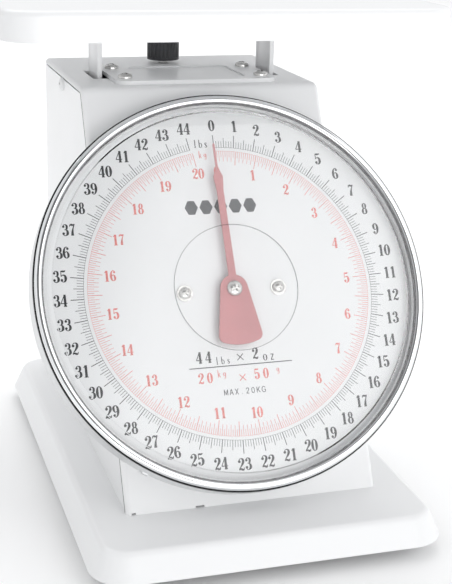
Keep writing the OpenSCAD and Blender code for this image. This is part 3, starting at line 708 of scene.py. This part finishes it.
# Strokes of each figure, one unit tall and centred on x = 0. A point is (x, y, stroke width).
SERIF = {
    "0": [ring(0, 0.5, 0.18, 0.47, 0.05, 0.17)],
    "1": [line((0.03, 1, 0.16), (0.03, 0, 0.16)),
          line((-0.15, 0.82, 0.05), (-0.1, 0.86, 0.06), (0.0, 0.97, 0.05)),
          line((-0.14, 0.02, 0.05), (0.2, 0.02, 0.05))],
    "2": [line((-0.19, 0.76, 0.05), (-0.13, 0.91, 0.05), (0.02, 0.97, 0.06), (0.17, 0.88, 0.13),
               (0.17, 0.66, 0.16), (0.02, 0.4, 0.1), (-0.14, 0.2, 0.06), (-0.22, 0.04, 0.06)),
          dot(-0.15, 0.74, 0.09),
          line((-0.2, 0.06, 0.07), (-0.08, 0.12, 0.11), (0.08, 0.06, 0.13), (0.18, 0.06, 0.08),
               (0.23, 0.22, 0.04))],
    "3": [line((-0.17, 0.84, 0.05), (-0.08, 0.95, 0.05), (0.03, 0.97, 0.06), (0.15, 0.86, 0.13),
               (0.14, 0.64, 0.13), (0.03, 0.54, 0.05), (-0.06, 0.53, 0.04)),
          dot(-0.13, 0.8, 0.08),
          line((-0.06, 0.53, 0.04), (0.05, 0.53, 0.05), (0.18, 0.4, 0.14), (0.18, 0.17, 0.16),
               (0.03, 0.03, 0.06), (-0.1, 0.04, 0.05), (-0.2, 0.16, 0.05)),
          dot(-0.15, 0.21, 0.085)],
    "4": [line((0.1, 1, 0.15), (0.1, 0, 0.15)),
          line((0.08, 0.98, 0.05), (-0.26, 0.27, 0.05)),
          line((-0.27, 0.27, 0.055), (0.27, 0.27, 0.055)),
          line((-0.04, 0.02, 0.05), (0.24, 0.02, 0.05))],
    "5": [line((-0.17, 0.95, 0.08), (-0.02, 0.92, 0.12), (0.12, 0.93, 0.1), (0.19, 1, 0.04)),
          line((-0.17, 0.97, 0.05), (-0.18, 0.5, 0.05)),
          line((-0.18, 0.5, 0.05), (-0.05, 0.61, 0.06), (0.12, 0.56, 0.12), (0.19, 0.33, 0.17),
               (0.12, 0.1, 0.12), (-0.03, 0.03, 0.05), (-0.17, 0.1, 0.05)),
          dot(-0.14, 0.19, 0.085)],
    "6": [line((0.17, 0.86, 0.05), (0.08, 0.96, 0.05), (-0.03, 0.95, 0.06), (-0.15, 0.76, 0.12),
               (-0.19, 0.45, 0.16), (-0.14, 0.16, 0.12), (0, 0.03, 0.05), (0.15, 0.14, 0.12),
               (0.17, 0.33, 0.15), (0.11, 0.52, 0.09), (0, 0.57, 0.05), (-0.13, 0.46, 0.05)),
          dot(0.13, 0.82, 0.08)],
    "7": [line((-0.2, 0.76, 0.04), (-0.18, 0.9, 0.07), (-0.06, 0.93, 0.13), (0.08, 0.9, 0.11),
               (0.21, 0.98, 0.05)),
          line((0.21, 0.98, 0.05), (0.07, 0.62, 0.08), (0, 0.3, 0.14), (-0.01, 0, 0.18))],
    "8": [ring(0, 0.75, 0.13, 0.22, 0.05, 0.13), ring(0, 0.28, 0.17, 0.25, 0.05, 0.15)],
    "l": [line((0, 1, 0.08), (0, 0, 0.08)), line((-0.1, 0.02, 0.04), (0.1, 0.02, 0.04))],
    "b": [line((-0.14, 1, 0.08), (-0.14, 0.02, 0.08)), ring(0.02, 0.3, 0.15, 0.28, 0.04, 0.08)],
    "s": [line((0.13, 0.5, 0.05), (0.03, 0.59, 0.05), (-0.1, 0.5, 0.08), (0, 0.32, 0.1),
               (0.12, 0.15, 0.08), (0, 0.03, 0.05), (-0.14, 0.12, 0.05))],
    "o": [ring(0, 0.3, 0.15, 0.28, 0.04, 0.1)],
    "z": [line((-0.14, 0.56, 0.06), (0.14, 0.56, 0.06)), line((0.13, 0.56, 0.07), (-0.13, 0.04, 0.07)),
          line((-0.14, 0.04, 0.06), (0.15, 0.04, 0.06))],
    "k": [line((-0.13, 1, 0.08), (-0.13, 0, 0.08)), line((-0.13, 0.25, 0.05), (0.13, 0.6, 0.05)),
          line((-0.03, 0.38, 0.08), (0.15, 0, 0.08))],
    "g": [ring(-0.02, 0.36, 0.13, 0.22, 0.04, 0.08),
          line((0.13, 0.58, 0.07), (0.13, 0, 0.07), (0.04, -0.17, 0.06), (-0.13, -0.13, 0.05))],
    "x": [line((-0.28, 0.08, 0.06), (0.28, 0.64, 0.06)), line((-0.28, 0.64, 0.06), (0.28, 0.08, 0.06))],
}
SERIF["9"] = [
    (kind, (-shape[0], 1 - shape[1], shape[2])) if kind == "dot"
    else (kind, [(-x, 1 - y, w) for x, y, w in shape])
    for kind, shape in SERIF["6"]]

# Strokes of the plain capitals, one unit tall and centred on x = 0. A point is (x, y).
SANS = {
    "M": [[(-0.3, 0), (-0.3, 1)], [(-0.3, 1), (0, 0.1)], [(0, 0.1), (0.3, 1)], [(0.3, 1), (0.3, 0)]],
    "A": [[(-0.3, 0), (0, 1)], [(0, 1), (0.3, 0)], [(-0.2, 0.33), (0.2, 0.33)]],
    "X": [[(-0.27, 0), (0.27, 1)], [(-0.27, 1), (0.27, 0)]],
    ".": [[(0, 0), (0, 0.1)]],
    "2": [[(-0.22, 0.72), (-0.12, 0.94), (0.1, 0.96), (0.22, 0.74), (0.06, 0.42), (-0.24, 0.05)],
          [(-0.24, 0.05), (0.25, 0.05)]],
    "0": [[(0, 0.03), (-0.2, 0.2), (-0.22, 0.5), (-0.2, 0.8), (0, 0.97), (0.2, 0.8), (0.22, 0.5),
           (0.2, 0.2), (0, 0.03)]],
    "K": [[(-0.25, 0), (-0.25, 1)], [(-0.25, 0.35), (0.25, 1)], [(-0.08, 0.57), (0.28, 0)]],
    "G": [[(0.28, 0.78), (0.1, 0.96), (-0.15, 0.92), (-0.31, 0.6), (-0.28, 0.25), (-0.05, 0.03),
           (0.18, 0.06), (0.3, 0.2), (0.31, 0.47)], [(0.31, 0.47), (0.05, 0.47)]],
}


class Print:
    """One colour of printing: thin closed shapes on the dial plate, in mm in the dial's frame."""

    def __init__(self):
        self.verts = []
        self.faces = []

    def band(self, left, right, closed=False):
        """A strip between two rows of points."""
        first = len(self.verts)
        count = len(left)
        for (lx, ly), (rx, ry) in zip(left, right):
            self.verts += [(lx, ly, 0), (rx, ry, 0), (rx, ry, INK_T), (lx, ly, INK_T)]
        for i in range(count if closed else count - 1):
            a, b = first + 4 * i, first + 4 * ((i + 1) % count)
            self.faces += [(a + k, b + k, b + (k + 1) % 4, a + (k + 1) % 4) for k in range(4)]
        if not closed:
            last = first + 4 * (count - 1)
            self.faces += [(first, first + 1, first + 2, first + 3), (last + 3, last + 2, last + 1, last)]

    def stroke(self, points, closed=False):
        """A line through points of (x, y, width)."""
        left, right = [], []
        count = len(points)
        for i, (x, y, width) in enumerate(points):
            before = points[i - 1] if i or closed else points[0]
            after = points[(i + 1) % count] if i + 1 < count or closed else points[-1]
            dx, dy = after[0] - before[0], after[1] - before[1]
            length = math.hypot(dx, dy) or 1.0
            ox, oy = -dy / length * width / 2, dx / length * width / 2
            left.append((x + ox, y + oy))
            right.append((x - ox, y - oy))
        self.band(left, right, closed)

    def outline(self, points):
        """A filled convex shape."""
        first = len(self.verts)
        verts, faces = prism(points, 0, INK_T)
        self.verts += verts
        self.faces += [tuple(first + i for i in face) for face in faces]

    def tick(self, degrees, inner_r, outer_r, width):
        """A division, in degrees clockwise from the top."""
        turn = math.radians(degrees)
        dx, dy = math.sin(turn), math.cos(turn)
        self.stroke([(inner_r * dx, inner_r * dy, width), (outer_r * dx, outer_r * dy, width)])

    def arc(self, radius, width, end, steps=180):
        """A thin arc clockwise from the top to its end in degrees."""
        turns = [math.radians(end * i / steps) for i in range(steps + 1)]
        self.stroke([(radius * math.sin(a), radius * math.cos(a), width) for a in turns])

    def glyph(self, sign, x, y, height):
        """A figure or letter with serifs, whose foot is at (x, y)."""
        for kind, shape in SERIF[sign]:
            if kind == "dot":
                u, v, radius = shape
                self.outline(circle(x + height * u, y + height * v, height * BOLD * radius, 12))
            else:
                closed = kind == "loop"
                curve = spline(shape, closed)
                self.stroke([(x + height * u, y + height * v, height * BOLD * w) for u, v, w in curve],
                            closed)

    def figures(self, signs, x, y, height, advance=0.6):
        """Signs in a row that is centred on x, with its foot at y."""
        for i, sign in enumerate(signs):
            self.glyph(sign, x + (i - (len(signs) - 1) / 2) * advance * height, y, height)

    def capitals(self, signs, x, y, height, advance):
        """Thin plain capitals in a row that is centred on x, with its foot at y."""
        for i, sign in enumerate(signs):
            middle = x + (i - (len(signs) - 1) / 2) * advance * height
            for points in SANS[sign]:
                curve = spline([(u, v, PEN) for u, v in points])
                self.stroke([(middle + height * u, y + height * v, height * w) for u, v, w in curve])

    def around(self, number, degrees, radius, height):
        """An upright number that is centred on a radius."""
        turn = math.radians(degrees)
        self.figures(str(number), radius * math.sin(turn), radius * math.cos(turn) - height / 2, height)

    def round_scale(self, full_load, unit_degrees, divisions, marks, base_r, figure_r, figure_h):
        """A scale on a base circle. Each mark is an end radius and a width, and they repeat in turn."""
        for i in range(full_load * divisions + 1):
            end_r, width = marks[i % len(marks)]
            self.tick(i * unit_degrees / divisions, min(base_r, end_r), max(base_r, end_r), width)
        self.arc(base_r, 0.12, full_load * unit_degrees)
        for number in range(full_load + 1):
            self.around(number, number * unit_degrees, figure_r, figure_h)

    def piece(self, name, slot):
        smooth_by_angle(new_piece(name, self.verts, self.faces, slot, "case", DIAL), 30, weld=False)


def pound_scale():
    """Black figures and divisions, 8 to the pound, and the pounds of the capacity."""
    layer = Print()
    whole, half, eighth = (80.0, 0.36), (78.4, 0.26), (76.8, 0.2)
    marks = [whole] + 3 * [eighth] + [half] + 3 * [eighth]
    layer.round_scale(FULL_LOAD_LB, DEGREES_PER_LB, 8, marks, base_r=73.5, figure_r=85, figure_h=5.8)
    layer.figures("lbs", -6.9, 73.6, 4.2, 0.66)
    layer.figures("44", -18.4, -34.8, 5.5, 0.85)
    layer.figures("lbs", -9, -36, 3.7, 0.78)
    layer.figures("x", 0, -35.2, 5.5)
    layer.figures("2", 7.8, -34.8, 5.5)
    layer.figures("oz", 14.5, -36, 5.2, 0.7)
    layer.stroke([(-26.2, -37.1, 0.45), (26.2, -37.1, 0.45)])
    layer.piece("pound_print", "black_ink")


def kilogram_scale():
    """Red figures and divisions, 20 to the kilogram, and the kilograms of the capacity."""
    layer = Print()
    half, tenth, twentieth = (64.5, 0.3), (66.2, 0.2), (68.4, 0.2)
    marks = [half, twentieth] + 4 * [tenth, twentieth]
    layer.round_scale(FULL_LOAD_KG, DEGREES_PER_KG, 20, marks, base_r=71.6, figure_r=61, figure_h=5.3)
    layer.figures("kg", -6.4, 68.2, 3.6, 0.7)
    layer.figures("20", -18.7, -44.7, 5.1, 0.88)
    layer.figures("kg", -10.3, -42.3, 3.6, 0.75)
    layer.figures("x", 0, -45.2, 5.4)
    layer.figures("50", 9.7, -44.7, 5.1, 0.92)
    layer.figures("g", 18.4, -42.3, 3.6)
    layer.piece("kilogram_print", "red_ink")


def grey_print():
    """The capacity line and a row of plain hexagons."""
    layer = Print()
    layer.capitals("MAX.20KG", 0.3, -51.3, 2.8, 0.98)
    middle_y, pitch = 42.8, 7.6
    half_w, half_h, shoulder = 3.4, 3.5, 1.6
    corners = [(-half_w, 0), (-shoulder, -half_h), (shoulder, -half_h),
               (half_w, 0), (shoulder, half_h), (-shoulder, half_h)]
    for i in range(-2, 3):
        x = -0.3 + i * pitch
        layer.outline([(x + u, middle_y + v) for u, v in corners])
    layer.piece("grey_print", "grey_ink")


# ---------------------------------------------------------------- finishes of the CAD nodes

SLOT_OF = {part["node"]: part["material_slot"] for part in frame["record"]["subparts"]}
BEVEL_MM = {
    "top_plate": 0.4, "left_upright": 0.4, "right_upright": 0.4, "platform_bracket": 0.4,
    "chassis": 0.3, "spring_hanger": 0.3, "lower_crossbar": 0.3, "drive_arm": 0.3,
    "upper_stay": 0.3, "lower_stay": 0.3, "movement_front_plate": 0.2, "movement_back_plate": 0.2,
    "pointer": 0.12, "zero_knob": 0.15,
}


def finish_nodes():
    """Gives each CAD node its slot's finish, smooth curves and small bevels."""
    for name, node in NODES.items():
        # Side panels take side_paint, which carries painted shadow in the seams at their front.
        material = MATERIALS["side_paint" if name.startswith("side_panel") else SLOT_OF[name]]
        node.data.materials.clear()
        node.data.materials.append(material)
        for polygon in node.data.polygons:
            polygon.material_index = 0
        smooth_by_angle(node, 35, BEVEL_MM.get(name, 0) * MM)


# ---------------------------------------------------------------- studio

def studio_world():
    """A pale room with a darker ceiling, a dark zone above the camera, and a dimmer left and back."""
    # Each zone: its direction, where its edge starts and ends, and the light outside and inside it
    zones = [((0, 0, 1), 0.62, 0.85, 1.28, 0.9),
             ((0, -0.75, 0.66), 0.86, 0.94, 1.0, 0.15),
             ((-1, 0, 0), 0.2, 0.9, 1.0, 0.7),
             ((0, 1, 0), 0.2, 0.9, 1.0, 0.65)]
    world = bpy.data.worlds.new("studio")
    bpy.context.scene.world = world
    world.use_nodes = True
    tree = world.node_tree
    background = tree.nodes["Background"]
    direction = tree.nodes.new("ShaderNodeTexCoord").outputs["Generated"]
    level = 1.0
    for toward, start, end, outside, inside in zones:
        along = tree.nodes.new("ShaderNodeVectorMath")
        along.operation = "DOT_PRODUCT"
        along.inputs[1].default_value = Vector(toward).normalized()
        tree.links.new(direction, along.inputs[0])
        zone = map_range(tree, along.outputs["Value"], start, end, outside, inside)
        level = calculate(tree, "MULTIPLY", level, zone)
    tree.links.new(level, background.inputs["Strength"])
    background.inputs["Color"].default_value = (0.985, 0.99, 1.0, 1)


def softbox(name, place, target, size, radiance, roll=0.0, fade=0.0):
    """A rectangular lamp of a given brightness that faces a target. Its left part may fade out."""
    lamp = bpy.data.lights.new(name, "AREA")
    if fade:
        lamp.use_nodes = True
        tree = lamp.node_tree
        split = tree.nodes.new("ShaderNodeSeparateXYZ")
        across = tree.nodes.new("ShaderNodeNewGeometry").outputs["Parametric"]
        tree.links.new(across, split.inputs["Vector"])
        falloff = map_range(tree, split.outputs["X"], 0, fade)
        tree.links.new(falloff, tree.nodes["Emission"].inputs["Strength"])
    lamp.shape = "RECTANGLE"
    lamp.size, lamp.size_y = size
    lamp.energy = radiance * math.pi * size[0] * size[1]
    piece = bpy.data.objects.new(name, lamp)
    bpy.context.scene.collection.objects.link(piece)
    aim = (Vector(target) - Vector(place)).to_track_quat("-Z", "Y").to_matrix().to_4x4()
    piece.matrix_world = Matrix.Translation(place) @ aim @ Matrix.Rotation(math.radians(roll), 4, "Z")


def studio_floor():
    """A plain floor."""
    half = 4.0
    corners = [(x, y, 0) for x, y in rectangle(-half, -half, half, half)]
    floor = mesh_object("floor", corners, [(0, 1, 2, 3)])
    floor.data.materials.append(floor_paint())


def camera():
    """The photograph's view, solved from the printed circles and the straight edges."""
    azimuth, elevation, roll = (math.radians(a) for a in (-17.55, 17.55, 1.55))
    back = Vector((math.sin(azimuth) * math.cos(elevation), -math.cos(azimuth) * math.cos(elevation),
                   math.sin(elevation)))
    level_right = Vector((math.cos(azimuth), math.sin(azimuth), 0))
    level_up = back.cross(level_right)
    right = level_right * math.cos(roll) + level_up * math.sin(roll)
    up = back.cross(right)
    lens = bpy.data.cameras.new("camera")
    lens.sensor_width = 36
    lens.lens = 80.5315
    lens.shift_x = -0.0036
    lens.shift_y = -0.0192
    lens.clip_start = 0.05
    lens.clip_end = 50
    piece = bpy.data.objects.new("camera", lens)
    bpy.context.scene.collection.objects.link(piece)
    place = Matrix((right, up, back)).transposed().to_4x4()
    place.translation = (-0.1862, -0.6448, 0.3105)
    piece.matrix_world = place
    bpy.context.scene.camera = piece


finish_nodes()
case_shell()
weight_spring("left_spring")
weight_spring("right_spring")
lens_mark()
pound_scale()
kilogram_scale()
grey_print()

studio_world()
studio_floor()
softbox("key", (0.614, -1.261, 1.171), (0.115, -0.022, 0.119), (0.8, 1.02), 1.5, roll=-26.2, fade=0.225)
softbox("front_fill", (0.2, -1.9, 0.3), (0, 0, 0.1), (1.6, 0.45), 2.9)
softbox("back_top", (0, 1.3, 1.9), (0, 0.5, 0), (2.4, 1.4), 1.9)
camera()
bpy.context.scene.view_settings.view_transform = "Standard"
